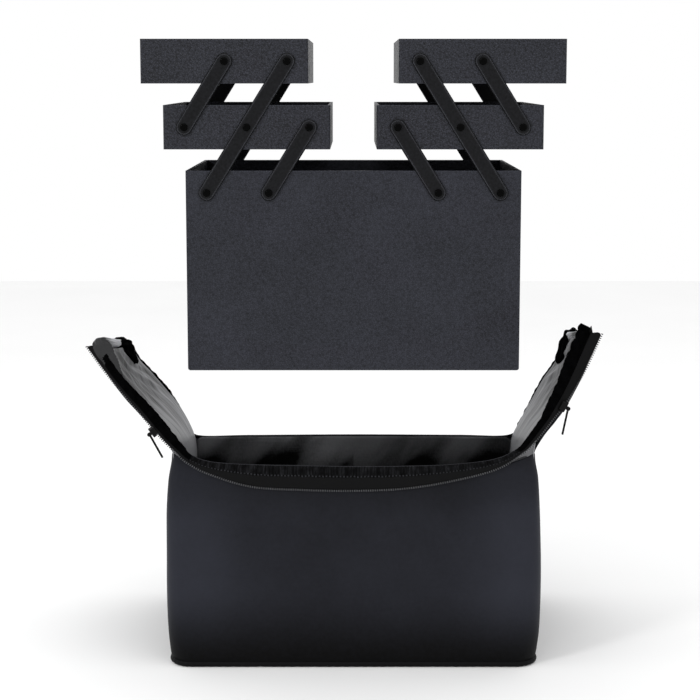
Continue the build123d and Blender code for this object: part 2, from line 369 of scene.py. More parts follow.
@dataclass(frozen=True)
class Skin:
    """Soft coated cloth: satin black, faint pores, slack ripples; painted shade darkens it towards the floor and the
    rim, and a painted sheen lightens it towards its rounded ends.

    Attributes:
        name: the finish's name.
        tone: linear grey of its brightest places.
        low: share of the tone left at the floor by the painted shade.
        gloss: the shader's specular level.
    """

    name: str
    tone: float
    low: float
    gloss: float

    def make(self) -> bpy.types.Material:
        """Builds the material.

        Returns:
            The material.
        """
        book = NodeBook(self.name)
        height = book.add("ShaderNodeSeparateXYZ", {}, {0: book.place()}, 2)
        across = book.add("ShaderNodeSeparateXYZ", {}, {0: book.place()}, 0)
        # painted shade: darker towards the floor and in a strip towards the rim
        lift = height.step(0.004, 0.085) * (1.0 - height.step(0.15, 0.2) * 0.4) * (1.0 - height.step(0.2, 0.225) * 0.4)
        # painted sheen: lighter towards the bag's rounded ends, where the light wraps round
        edge = across.size().step(0.09, 0.165) * 0.34
        cloud = book.noise(8.0, 4.0, None, 0.6)
        worn = book.noise(260.0, 3.0)
        shade = lift * (0.42 + edge) + (cloud - 0.5) * 0.5 * lift + (worn - 0.5) * 0.16
        colour = book.blend(shade.larger(0.0), grey(self.tone * self.low, 1.4), grey(self.tone, 1.45))
        pores = book.cells(1500.0)
        normal = book.bump(book.noise(14.0, 3.0), 0.004, 0.5)
        normal = book.bump(pores * 0.6 + worn * 0.8, 0.00012, 0.6, normal)
        rough = 0.52 - lift * 0.1 + cloud * 0.1
        return book.close(colour, rough, normal, Specular_IOR_Level=self.gloss)


@dataclass(frozen=True)
class Satin:
    """Thin lining cloth: a fine plain weave and pulled creases, with painted sheen and shade that change along its
    length and painted shade and highlight on the creases.

    Attributes:
        name: the finish's name.
        low: linear grey in the hollows, where the painted shade is deepest.
        high: linear grey of the bright threads and of the painted sheen.
        crease: relief of the creases in metres.
        gloss: the shader's specular level.
        fade: brightness of the painted sheen and shade at the start and at the end of the sheet's length.
        folds: about how many folds lie across the sheet.
        span: where along the sheet the brightness changes.
    """

    name: str
    low: float
    high: float
    crease: float
    gloss: float
    fade: tuple = (0.5, 0.5)
    folds: float = 9.0
    span: tuple = (0.3, 0.8)

    def make(self) -> bpy.types.Material:
        """Builds the material.

        Returns:
            The material.
        """
        book = NodeBook(self.name)
        u, v = book.uv()
        pull = book.add("ShaderNodeCombineXYZ", {}, {0: u * self.folds + v * 2.0, 1: v * 1.6, 2: 0.0})
        folds = book.noise(1.0, 3.0, pull, 0.6)
        threads = book.noise(1.0, 1.0, book.add("ShaderNodeCombineXYZ", {}, {0: u * 900.0, 1: v * 60.0, 2: 0.0}))
        cross = book.noise(1.0, 1.0, book.add("ShaderNodeCombineXYZ", {}, {0: u * 60.0, 1: v * 700.0, 2: 0.0}))
        weave = threads * 0.5 + cross * 0.5
        start, end = self.fade
        # painted sheen and shade: brightness that changes along the sheet
        run = start + v.step(*self.span) * (end - start)
        calm = v.step(0.2, 0.32)
        # the creases carry painted shade and highlight; the weave term is the cloth's own pattern
        shade = run + ((folds - 0.5) * 0.9 + (folds.step(0.36, 0.64) - 0.5) * 0.5) * calm + (weave - 0.5) * 0.6
        colour = book.blend(shade.larger(0.0), grey(self.low, 1.08), grey(self.high, 1.06))
        normal = book.bump(weave, 0.00006, 0.5, book.bump(folds * calm, self.crease, 0.9))
        return book.close(colour, 0.46 + weave * 0.12, normal, Specular_IOR_Level=self.gloss)


@dataclass(frozen=True)
class Pile:
    """Ribbon with a short velvety pile, crushed in places; with pleats, its gathers carry painted shade and highlight
    and its fold a painted highlight.

    Attributes:
        name: the finish's name.
        low: linear grey of the hollows.
        high: linear grey of the brushed places and of the painted highlights.
        gloss: the shader's specular level.
        pleats: gathers along the ribbon, and twice the stitches along its sewn edge.
    """

    name: str
    low: float
    high: float
    gloss: float
    pleats: float = 0.0

    def make(self) -> bpy.types.Material:
        """Builds the material.

        Returns:
            The material.
        """
        book = NodeBook(self.name)
        fuzz = book.noise(1500.0, 2.0)
        crushed = book.noise(160.0, 3.0)
        shade = (fuzz * 0.5 + crushed * 0.9 - 0.3).step(0.1, 0.9) * 0.6
        if self.pleats:
            u, v = book.uv()
            round_u = (u * (2.0 * math.pi) + math.pi / 2.0).sine()
            line = book.add("ShaderNodeCombineXYZ", {}, {0: v * self.pleats, 1: u * 1.5, 2: 0.0})
            # painted shade and highlight: light and dark stripes across the gathers
            gathers = book.noise(1.0, 2.0, line, 0.7).step(0.38, 0.66)
            stitch = (v * (self.pleats * math.pi)).sine().step(-0.2, 0.3)
            seam = (0.0 - round_u).step(0.5, 0.62) * (1.0 - (0.0 - round_u).step(0.8, 0.9))
            # painted highlight: the round_u step is a light line along the fold; the seam band holds the stitches
            shade = shade * (1.0 - seam) * (0.25 + gathers) + round_u.step(0.8, 0.97) * 0.8 + seam * stitch * 0.9
        colour = book.blend(shade, grey(self.low, 1.1), grey(self.high, 1.15))
        normal = book.bump(fuzz, 0.00035, 0.9, book.bump(crushed, 0.0007, 0.6))
        return book.close(colour, 0.8 + fuzz * 0.15, normal, Specular_IOR_Level=self.gloss)


@dataclass(frozen=True)
class Woven:
    """Close plain-woven tape: warp ribs along the tape and finer weft across it.

    Attributes:
        name: the finish's name.
        tone: linear grey of the yarn tops.
        scale: yarns per metre.
        gloss: the shader's specular level.
    """

    name: str
    tone: float
    scale: float
    gloss: float

    def make(self) -> bpy.types.Material:
        """Builds the material.

        Returns:
            The material.
        """
        book = NodeBook(self.name)
        yarn = 2.0 * math.pi * self.scale
        x = book.add("ShaderNodeSeparateXYZ", {}, {0: book.place()}, 0)
        z = book.add("ShaderNodeSeparateXYZ", {}, {0: book.place()}, 2)
        weave = ((x + z) * yarn).sine() * ((x - z) * yarn).sine() * 0.5 + 0.5
        dirt = book.noise(45.0, 3.0)
        colour = book.blend(weave * 0.55 + dirt * 0.5, grey(self.tone * 0.45, 1.05), grey(self.tone * 1.3, 1.08))
        return book.close(
            colour, 0.62 + dirt * 0.16, book.bump(weave, 0.00018, 0.8), Specular_IOR_Level=self.gloss
        )


@dataclass(frozen=True)
class Enamel:
    """Painted metal or moulded plastic: orange peel and faint scuffs.

    Attributes:
        name: the finish's name.
        tone: linear grey.
        rough: mean roughness.
        gloss: the shader's specular level.
        coat: weight of the clear coat.
        peel: relief of the orange peel in metres.
    """

    name: str
    tone: float
    rough: float
    gloss: float
    coat: float = 0.0
    peel: float = 0.00002

    def make(self) -> bpy.types.Material:
        """Builds the material.

        Returns:
            The material.
        """
        book = NodeBook(self.name)
        scuffs = book.noise(420.0, 4.0)
        patch = book.noise(60.0, 2.0)
        colour = book.blend(
            scuffs.step(0.45, 0.75) * 0.5 + patch * 0.4, grey(self.tone * 0.7, 1.06), grey(self.tone * 1.6, 1.08)
        )
        rough = self.rough + (scuffs - 0.5) * 0.12
        normal = book.bump(book.noise(900.0, 1.0), self.peel, 0.7)
        return book.close(colour, rough, normal, Specular_IOR_Level=self.gloss, Coat_Weight=self.coat)


@dataclass(frozen=True)
class Pressed:
    """Lacquered flat metal: sides made dark as painted shade, and a thin bright line along the face's edge as a
    painted highlight.

    Attributes:
        name: the finish's name.
        tone: linear grey of the face.
        line: linear grey of the painted highlight line.
        gloss: the shader's specular level.
    """

    name: str
    tone: float
    line: float
    gloss: float

    def make(self) -> bpy.types.Material:
        """Builds the material.

        Returns:
            The material.
        """
        book = NodeBook(self.name)
        facing = book.add("ShaderNodeNewGeometry", {}, {}, "True Normal")
        face = book.add("ShaderNodeSeparateXYZ", {}, {0: facing}, 1).size().step(0.8, 0.95)
        near = book.edge(0.0026)
        scuffs = book.noise(420.0, 4.0)
        # painted highlight: a thin bright line just inside the face's edge
        painted_edge_highlight = face * near.step(0.0015, 0.006) * (1.0 - near.step(0.03, 0.06))
        # painted shade: faces not turned to ±Y and a band along the edge go near black
        shade = face * (1.0 - near.step(0.02, 0.05)) * (0.04 + (scuffs - 0.5) * 0.1) + painted_edge_highlight * 0.5
        colour = book.blend(shade.larger(0.0), grey(self.tone * 0.05, 1.2), grey(self.line, 1.2))
        rough = 0.45 + (scuffs - 0.5) * 0.2
        return book.close(colour, rough, book.bump(scuffs, 0.00003, 0.6), Specular_IOR_Level=self.gloss)


# ---------------------------------------------------------------- mesh kit
def smooth(low: float, high: float, value: float) -> float:
    """A smooth step from 0 at low to 1 at high."""
    share = min(1.0, max(0.0, (value - low) / (high - low)))
    return share * share * (3.0 - 2.0 * share)


def wrinkle(point: Vector, scale: float, seed: float) -> float:
    """Smooth noise from about -1 to 1 at a point in mm.

    Args:
        point: the place.
        scale: features per mm.
        seed: shifts the pattern.

    Returns:
        The noise value.
    """
    return noise.noise(point * scale + Vector((seed, seed * 1.7, seed * 0.6)))


class Route:
    """A smooth line through a few points in mm."""

    def __init__(self, *points: tuple) -> None:
        """Keeps the points.

        Args:
            points: x, y, z of each, in order.
        """
        self.points = [Vector(point) for point in points]
        self.last = len(self.points) - 1

    def at(self, place: float) -> Vector:
        """Finds the point at a place on the line.

        Args:
            place: the place counted in points, such as 2.5 for halfway from the third to the fourth.

        Returns:
            The point in mm.
        """
        index = min(self.last - 1, max(0, int(place)))
        share = place - index
        a, b = self.points[index], self.points[index + 1]
        before = self.points[index - 1] if index else a * 2 - b
        after = self.points[index + 2] if index + 2 <= self.last else b * 2 - a
        rise, fall = (b - before) / 2, (after - a) / 2
        s2, s3 = share * share, share * share * share
        return a * (2 * s3 - 3 * s2 + 1) + rise * (s3 - 2 * s2 + share) + b * (3 * s2 - 2 * s3) + fall * (s3 - s2)


def level(value: float, *knots: tuple) -> float:
    """Reads a smooth curve of height through (place, height) knots.

    Args:
        value: the place to read it at.
        knots: the knots, in order of place.

    Returns:
        The height.
    """
    places = [knot[0] for knot in knots]
    index = max(0, min(len(places) - 2, sum(value >= place for place in places) - 1))
    share = (value - places[index]) / (places[index + 1] - places[index])
    return Route(*[(0.0, 0.0, knot[1]) for knot in knots]).at(index + min(1.0, max(0.0, share))).z


def lone(piece: bpy.types.Object | None = None) -> None:
    """Leaves only one piece selected and active, or nothing at all.

    Args:
        piece: the piece, or None for nothing at all.
    """
    bpy.ops.object.select_all(action="DESELECT")
    if piece is not None:
        piece.select_set(True)
        bpy.context.view_layer.objects.active = piece


def applied(piece: bpy.types.Object, kind: str, **settings: object) -> bpy.types.Object:
    """Adds a modifier, sets it and applies it.

    Args:
        piece: the piece.
        kind: the modifier's type.
        settings: its properties.

    Returns:
        The piece.
    """
    lone(piece)
    modifier = piece.modifiers.new(kind.title(), kind)
    for key, value in settings.items():
        setattr(modifier, key, value)
    bpy.ops.object.modifier_apply(modifier=modifier.name)
    return piece


def grid(name: str, across: int, along: int, place: Place) -> bpy.types.Object:
    """A sheet whose points lie at place(u, v), both from 0 to 1. Edges that meet are welded.

    Args:
        name: the piece's name.
        across: faces along u.
        along: faces along v.
        place: gives each point in mm.

    Returns:
        The sheet.
    """
    lone()
    bpy.ops.mesh.primitive_grid_add(x_subdivisions=across, y_subdivisions=along, size=2.0)
    piece = bpy.context.object
    piece.name = piece.data.name = name
    for vertex in piece.data.vertices:
        vertex.co = place((vertex.co.x + 1.0) / 2.0, (vertex.co.y + 1.0) / 2.0) * MM
    return welded(piece)


def welded(piece: bpy.types.Object) -> bpy.types.Object:
    """Merges touching points and turns every face outwards.

    Args:
        piece: the piece.

    Returns:
        The same piece.
    """
    lone(piece)
    bpy.ops.object.mode_set(mode="EDIT")
    bpy.ops.mesh.select_all(action="SELECT")
    bpy.ops.mesh.remove_doubles(threshold=2e-6)
    bpy.ops.mesh.normals_make_consistent(inside=False)
    bpy.ops.object.mode_set(mode="OBJECT")
    return piece


def joined(name: str, pieces: Sequence[bpy.types.Object]) -> bpy.types.Object:
    """Makes several pieces one.

    Args:
        name: the joined piece's name.
        pieces: the pieces, of which the first takes in the rest.

    Returns:
        The joined piece.
    """
    lone()
    for piece in pieces:
        piece.select_set(True)
    bpy.context.view_layer.objects.active = pieces[0]
    if len(pieces) > 1:
        bpy.ops.object.join()
    pieces[0].name = pieces[0].data.name = name
    return pieces[0]


def rope(name: str, around: int, along: int, centre: Place, radius: Place) -> bpy.types.Object:
    """A closed roll along a line, drawn together to a point at each end.

    Args:
        name: the piece's name.
        around: faces round the roll.
        along: faces along it.
        centre: the line's point at v (its u is not used).
        radius: the offset from the line at u, v.

    Returns:
        The roll.
    """
    return grid(name, around, along, lambda u, v: centre(0.0, v) + radius(u, v))


@dataclass(frozen=True)
class Dress:
    """What a piece is finished with and stands for.

    Attributes:
        material: its material.
        slot: the record's material slot; not used.
        body: the body it is attached to when it has no bend.
        nodes: the CAD nodes it replaces.
    """

    material: bpy.types.Material
    slot: str
    body: str
    nodes: tuple

    def put(self, piece: bpy.types.Object, bend: tuple | None = None) -> bpy.types.Object:
        """Finishes a piece.

        Args:
            piece: the piece, with its mesh final.
            bend: start and end of a bend from the bag to the body; the points are not used: a piece given them is
                baked in place and not attached, and None attaches it to the body.

        Returns:
            The piece.
        """
        lone(piece)
        bpy.ops.object.shade_smooth()
        piece.data.materials.clear()
        piece.data.materials.append(self.material)
        if bend is None:
            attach(piece, self.body)
        else:
            self.body
            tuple(bend[0])
            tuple(bend[1])
            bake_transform(piece)
        if self.nodes:
            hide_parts(*self.nodes)
        log.info("%s: %d faces", piece.name, len(piece.data.polygons))
        return piece


# ---------------------------------------------------------------- the bag
class Plan:
    """The bag's outline at each height: a rounded rectangle that swells a little and draws in at the rim."""

    CORNER = 0.08

    def __init__(self, inset: float) -> None:
        """Keeps the inset.

        Args:
            inset: how far inside the outer skin this outline runs, in mm.
        """
        self.inset = inset

    def halves(self, z: float) -> tuple[float, float, float, float]:
        """Gives the half length, front depth, rear depth and corner radius at a height.

        Args:
            z: the height in mm.

        Returns:
            The four sizes in mm, less the inset.
        """
        length = level(
            z, (0, 188.2), (10, 190.6), (30, 192.4), (60, 193), (110, 192.8), (160, 191.4), (200, 188.6), (230, 184.5)
        )
        front = level(
            z, (0, 118), (10, 120), (40, 121.6), (100, 122.3), (160, 121.5), (186, 120.2), (200, 118), (230, 117)
        )
        rear = level(
            z, (0, 118), (10, 120), (40, 121), (100, 121.5), (150, 120.5), (180, 118.2), (195, 117.5), (230, 117)
        )
        radius = level(z, (0, 24), (30, 21), (100, 17), (180, 12), (230, 10))
        return length - self.inset, front - self.inset, rear - self.inset, max(3.0, radius - self.inset)

    def point(self, turn: float, z: float) -> Vector:
        """Finds the outline's point at a turn and a height.

        Args:
            turn: from 0 to 1, starting mid rear and going by the left end.
            z: the height in mm.

        Returns:
            The point in mm.
        """
        length, front, rear, radius = self.halves(z)
        stretch = (turn * 4.0 + 0.5) % 4.0
        side, share = int(stretch), stretch % 1.0
        low, high = ((length, length), (rear, front), (length, length), (front, rear))[side]
        c = self.CORNER
        if c <= share <= 1.0 - c:
            run = radius - low + (low + high - 2 * radius) * (share - c) / (1.0 - 2 * c)
            drop = 0.0
        else:
            bend = (c - min(share, 1.0 - share)) / c * math.pi / 4
            drop = (1.0 - math.cos(bend)) * radius
            run = radius - low - math.sin(bend) * radius if share < 0.5 else high - radius + math.sin(bend) * radius
        return (
            Vector((-run, rear - drop, z)),
            Vector((drop - length, -run, z)),
            Vector((run, drop - front, z)),
            Vector((length - drop, run, z)),
        )[side]


def rim(x: float, y: float) -> float:
    """Gives the height of the bag's rim over a point of its outline.

    Args:
        x: the point's X in mm.
        y: the point's Y in mm.

    Returns:
        The height in mm.
    """
    front = 208.0 + 17.0 * min(1.0, abs(x) / 184.0) ** 5
    rear = 189.4 - 1.5 * (x / 184.0) ** 2
    return front + (rear - front) * min(1.0, max(0.0, (y + 116.0) / 232.0))


@dataclass
class Bag:
    """The bag's own soft pieces: skin, piping and lining.

    Attributes:
        skin_finish: the coated cloth.
        piping_finish: the piping's cloth.
        lining_finish: the lining, darkened with painted shade.
    """

    skin_finish: bpy.types.Material
    piping_finish: bpy.types.Material
    lining_finish: bpy.types.Material

    def skin(self) -> bpy.types.Object:
        """Lofts the outer skin as one double-walled shell that swells and sags.

        Returns:
            The skin.
        """
        outer, inner = Plan(0.0), Plan(2.4)

        def place(u: float, v: float) -> Vector:
            """Places a point of the skin.

            Args:
                u: the turn round the outline.
                v: up the outside to 0.5, then down the inside.

            Returns:
                The point in mm.
            """
            walk = v * 2.0
            inside = walk > 1.0
            climb = 2.0 - walk if inside else walk
            foot = outer.point(u, 205.0)
            top = rim(foot.x, foot.y) - (1.0 if climb > 0.99 else 0.0)
            z = 2.2 + (top - 2.2) * climb
            point = (inner if inside and v < 0.999 else outer).point(u, z)
            away = Vector((point.x / 190.0, point.y / 120.0, 0.0)).normalized()
            sway = wrinkle(point, 0.012, 3.0) * 1.1 + wrinkle(Vector((point.x, point.y, z * 0.35)), 0.03, 8.0) * 0.5
            slant = z - 212.0 + (184.0 - abs(point.x)) * 0.9
            crease = math.exp(-((slant / 9.0) ** 2)) * smooth(120, 178, abs(point.x))
            return point + away * (sway * smooth(0, 30, z) * (1.0 - smooth(196, 206, z)) - crease * 0.9)

        return Dress(
            self.skin_finish, "bag_shell", "bag",
            ("bag_front_panel", "bag_rear_panel", "bag_left_panel", "bag_right_panel"),
        ).put(grid("bag_skin", 240, 150, place))

    def piping(self) -> bpy.types.Object:
        """Runs the covered cord round the bottom edge, with slight pulls at its corners.

        Returns:
            The piping.
        """
        line = Plan(2.4)

        def place(u: float, v: float) -> Vector:
            """Places a point of the piping.

            Args:
                u: the turn round the cord.
                v: the turn round the outline.

            Returns:
                The point in mm.
            """
            centre = line.point(v, 9.0)
            centre.z = 3.3
            ahead = line.point((v + 0.002) % 1.0, 9.0) - line.point((v - 0.002) % 1.0, 9.0)
            side = Vector((ahead.y, -ahead.x, 0.0)).normalized()
            angle = u * 2 * math.pi
            size = 3.15 + 0.1 * math.sin(v * 2 * math.pi * 170)
            return centre + side * math.cos(angle) * size + Vector((0, 0, math.sin(angle) * size))

        cord = grid("bag_bottom_piping", 12, 1200, place)
        return Dress(self.piping_finish, "piping", "bag", ("bag_piping",)).put(cord)

    def lining(self) -> bpy.types.Object:
        """Drapes the lining as a cup: padded floor, coved edge and slack walls.

        Returns:
            The lining.
        """
        line = Plan(4.6)

        def place(u: float, v: float) -> Vector:
            """Places a point of the lining.

            Args:
                u: the turn round the outline.
                v: from the floor's middle, over its edge at 0.25, to the rim.

            Returns:
                The point in mm.
            """
            if v < 0.25:
                point = line.point(u, 18.0) * (v / 0.25 * 0.97)
                point.z = 14.2 + 0.5 * wrinkle(point, 0.02, 5.0) - 0.4
                return point
            foot = line.point(u, 205.0)
            climb = (v - 0.25) / 0.75
            z = 14.6 + (rim(foot.x, foot.y) + 0.3 - 7.0 * smooth(176, 184, abs(foot.x)) - 14.6) * climb
            point = line.point(u, z)
            point = point * (1.0 - 0.02 * (1.0 - smooth(0.0, 0.05, climb)))
            point.z = z
            away = Vector((point.x / 190.0, point.y / 120.0, 0.0)).normalized()
            slack = wrinkle(Vector((point.x * 1.3, point.y * 1.3, z * 0.6)), 0.03, 12.0)
            pleat = wrinkle(Vector((point.x * 1.0, point.y * 1.0, z * 0.3)), 0.07, 21.0)
            depth = (slack * 2.1 + pleat * 1.0 + 1.0) * (1.0 - 0.7 * smooth(0.965, 1.0, climb))
            depth *= 1.0 - smooth(0.4, 0.8, abs(away.x)) * smooth(0.6, 0.85, climb)
            return point - away * max(0.0, depth) * smooth(0.02, 0.2, climb)

        cup = grid("bag_inner_lining", 300, 110, place)
        applied(cup, "SOLIDIFY", thickness=0.0009, offset=1.0)
        return Dress(self.lining_finish, "lining", "bag", ("bag_lining",)).put(welded(cup))


# ---------------------------------------------------------------- bands along the edges
@dataclass
class EdgeBand:
    """The zip edge: a gathered ribbon folded over the edge, then the zip tape, then one row of teeth.

    Attributes:
        fold: the edge's line, from the left tip to the right one.
        hem: the teeth's line, with as many points.
        face: which way the band faces.
        share: (place, share) knots of the ribbon's part of the width.
        seams: the places where the wall's stretch starts and ends.
    """

    fold: Route
    hem: Route
    face: Face
    share: tuple
    seams: tuple[float, float]

    def point(self, place: float, across: float, proud: float) -> Vector:
        """Finds a point of the band.

        Args:
            place: the place along it, in points of the route.
            across: 0 at the fold and 1 at the teeth.
            proud: how far out of the band, in mm.

        Returns:
            The point in mm.
        """
        edge, end = self.fold.at(place), self.hem.at(place)
        crown = 1.1 * 4.0 * across * (1.0 - across) if 0.0 < across < 1.0 else 0.0
        return edge.lerp(end, across) + Vector((0.0, self.face.value * (proud + crown), 0.0))

    def span(self, side: Side | None) -> tuple[float, float]:
        """Gives the first and last place of the wall's stretch, or of one flap's.

        Args:
            side: the flap, or None for the wall.

        Returns:
            The two places.
        """
        if side is None:
            return self.seams
        return (0.0, self.seams[0]) if side is Side.LEFT else (self.seams[1], float(self.fold.last))

    def spread(self, side: Side | None) -> Callable[[float], float]:
        """Makes a map from a share of the stretch's length to the place on the route.

        Args:
            side: the flap, or None for the wall.

        Returns:
            The map, with the stretch's length in mm as its attribute length.
        """
        low, high = self.span(side)
        marks = [low + (high - low) * step / 240 for step in range(241)]
        run = [0.0]
        for before, after in zip(marks, marks[1:]):
            run.append(run[-1] + (self.hem.at(after) - self.hem.at(before)).length)

        def place(share: float) -> float:
            """Turns a share of the length into a place.

            Args:
                share: from 0 to 1.

            Returns:
                The place.
            """
            want = share * run[-1]
            index = min(239, max(0, sum(value < want for value in run) - 1))
            step = run[index + 1] - run[index]
            return marks[index] + (marks[index + 1] - marks[index]) * (want - run[index]) / step

        place.length = run[-1]
        return place

    def strip(self, name: str, side: Side | None, cells: tuple, band: Callable, relief: Callable) -> bpy.types.Object:
        """A closed flat strip along one stretch.

        Args:
            name: the piece's name.
            side: the flap, or None for the wall.
            cells: faces round and along.
            band: gives (from, to, thickness, proud) at a place.
            relief: gives (across, proud) shifts at a run in mm, a place and a share across.

        Returns:
            The strip.
        """
        spread = self.spread(side)
        table = [spread(step / cells[1]) for step in range(cells[1] + 1)]

        def place(u: float, v: float) -> Vector:
            """Places a point of the strip.

            Args:
                u: the turn round its section.
                v: the share of its length.

            Returns:
                The point in mm.
            """
            where = table[round(v * cells[1])]
            start, end, thick, proud = band(where)
            turn = u * 2.0 * math.pi
            c, s = math.cos(turn), math.sin(turn)
            across = 0.5 - 0.5 * math.copysign(abs(c) ** 0.75, c)
            lift = 0.5 * thick * math.copysign(abs(s) ** 0.6, s)
            slide, swell = relief(v * spread.length, where, across)
            front = smooth(-0.4, 0.6, s)
            taper = 0.25 + 0.75 * smooth(0.0, 0.004, min(v, 1.0 - v))
            tip = 1.0 - smooth(0.0, 1.0, min(where, self.fold.last - where))
            rag = 0.22 * tip * noise.noise(Vector((across * (end - start) * 9.0, start * 3.0, 1.0 + self.face.value)))
            reach = start + (end - start) * across + slide
            return self.point(where + rag, reach, (lift * taper + swell * front) + proud)

        return capped(grid(name, cells[0], cells[1], place))

    def ribbon(self, name: str, side: Side | None) -> bpy.types.Object:
        """Builds the gathered ribbon of one stretch.

        Args:
            name: the piece's name.
            side: the flap, or None for the wall.

        Returns:
            The ribbon.
        """
        seed = 5.0 + 3.0 * self.face.value
        wall = side is None

        def band(where: float) -> tuple:
            """Gives the ribbon's from, to, thickness and proud at a place."""
            return -0.03 if wall else -0.02, level(where, *self.share), (3.0 if wall else 4.2), -0.6

        def relief(run: float, where: float, across: float) -> tuple:
            """Gives the ribbon's shifts, with its pleats and puffs.

            Args:
                run: the length so far, in mm.
                where: the place.
                across: the share across.

            Returns:
                The shifts across and out.
            """
            beat = run / 3.1 + 1.3 * noise.noise(Vector((run * 0.05, seed, 0.0)))
            pleat = math.sin(beat * 2 * math.pi) * (0.5 + 0.5 * noise.noise(Vector((run * 0.11, seed, 4.0))))
            puff = noise.noise(Vector((run * 0.09, across * 2.2, seed)))
            edge = noise.noise(Vector((run * 0.16, seed, 9.0)))
            size = 0.75 if wall else 0.3
            slide = edge * (0.035 if wall else 0.07) * (across if wall else 1.0 - across) + pleat * 0.006
            return slide, pleat * size + puff * (0.5 if wall else 0.9)

        return self.strip(name, side, (16, 1000 if wall else 420), band, relief)

    def tape(self, name: str, side: Side | None) -> bpy.types.Object:
        """Builds the zip tape of one stretch.

        Args:
            name: the piece's name.
            side: the flap, or None for the wall.

        Returns:
            The tape.
        """

        def band(where: float) -> tuple:
            """Gives the tape's from, to, thickness and proud at a place."""
            return level(where, *self.share) - 0.12, 0.985, 1.3, -0.5

        def relief(run: float, where: float, across: float) -> tuple:
            """Gives the tape's slight waves."""
            return 0.0, 0.25 * noise.noise(Vector((run * 0.07, across * 2.0, 2.0 + self.face.value)))

        return self.strip(name, side, (14, 320 if side is None else 150), band, relief)

    def teeth(self, name: str, side: Side | None) -> bpy.types.Object:
        """Builds the row of teeth of one stretch: one moulded tooth, copied along the tape's edge.

        Args:
            name: the piece's name.
            side: the flap, or None for the wall.

        Returns:
            The row, as one piece.
        """
        lone()
        bpy.ops.mesh.primitive_cube_add(size=1.0)
        pattern = bpy.context.object
        for vertex in pattern.data.vertices:
            reach = 1.0 if vertex.co.y > 0 else 0.72
            vertex.co = Vector((vertex.co.x * 1.25 * reach, vertex.co.y * 2.1, vertex.co.z * 1.8 * reach)) * MM
        applied(pattern, "BEVEL", width=0.00032, segments=1)
        spread = self.spread(side)
        count = int(spread.length / TOOTH_PITCH)
        copies = []
        for number in range(count):
            where = spread((number + 0.5) / count)
            ahead = (self.hem.at(where + 0.02) - self.hem.at(where - 0.02)).normalized()
            out = Vector((0.0, float(self.face.value), 0.0))
            across = ahead.cross(out).normalized()
            if across.dot(self.hem.at(where) - self.fold.at(where)) < 0:
                across.negate()
            out = across.cross(ahead) if across.cross(ahead).y * self.face.value > 0 else ahead.cross(across)
            spot = self.point(where, 1.0, 0.15) * MM
            tooth = pattern.copy()
            tooth.data = pattern.data.copy()
            frame_axes = Matrix((ahead, across, out)).transposed().to_4x4()
            tooth.data.transform(Matrix.Translation(spot) @ frame_axes)
            bpy.context.collection.objects.link(tooth)
            copies.append(tooth)
        bpy.data.objects.remove(pattern)
        return welded(joined(name, copies))


def capped(piece: bpy.types.Object) -> bpy.types.Object:
    """Closes the open ends of a strip.

    Args:
        piece: the strip.

    Returns:
        The same strip, closed.
    """
    lone(piece)
    bpy.ops.object.mode_set(mode="EDIT")
    bpy.ops.mesh.select_all(action="SELECT")
    bpy.ops.mesh.fill_holes(sides=0)
    bpy.ops.mesh.normals_make_consistent(inside=False)
    bpy.ops.object.mode_set(mode="OBJECT")
    return piece


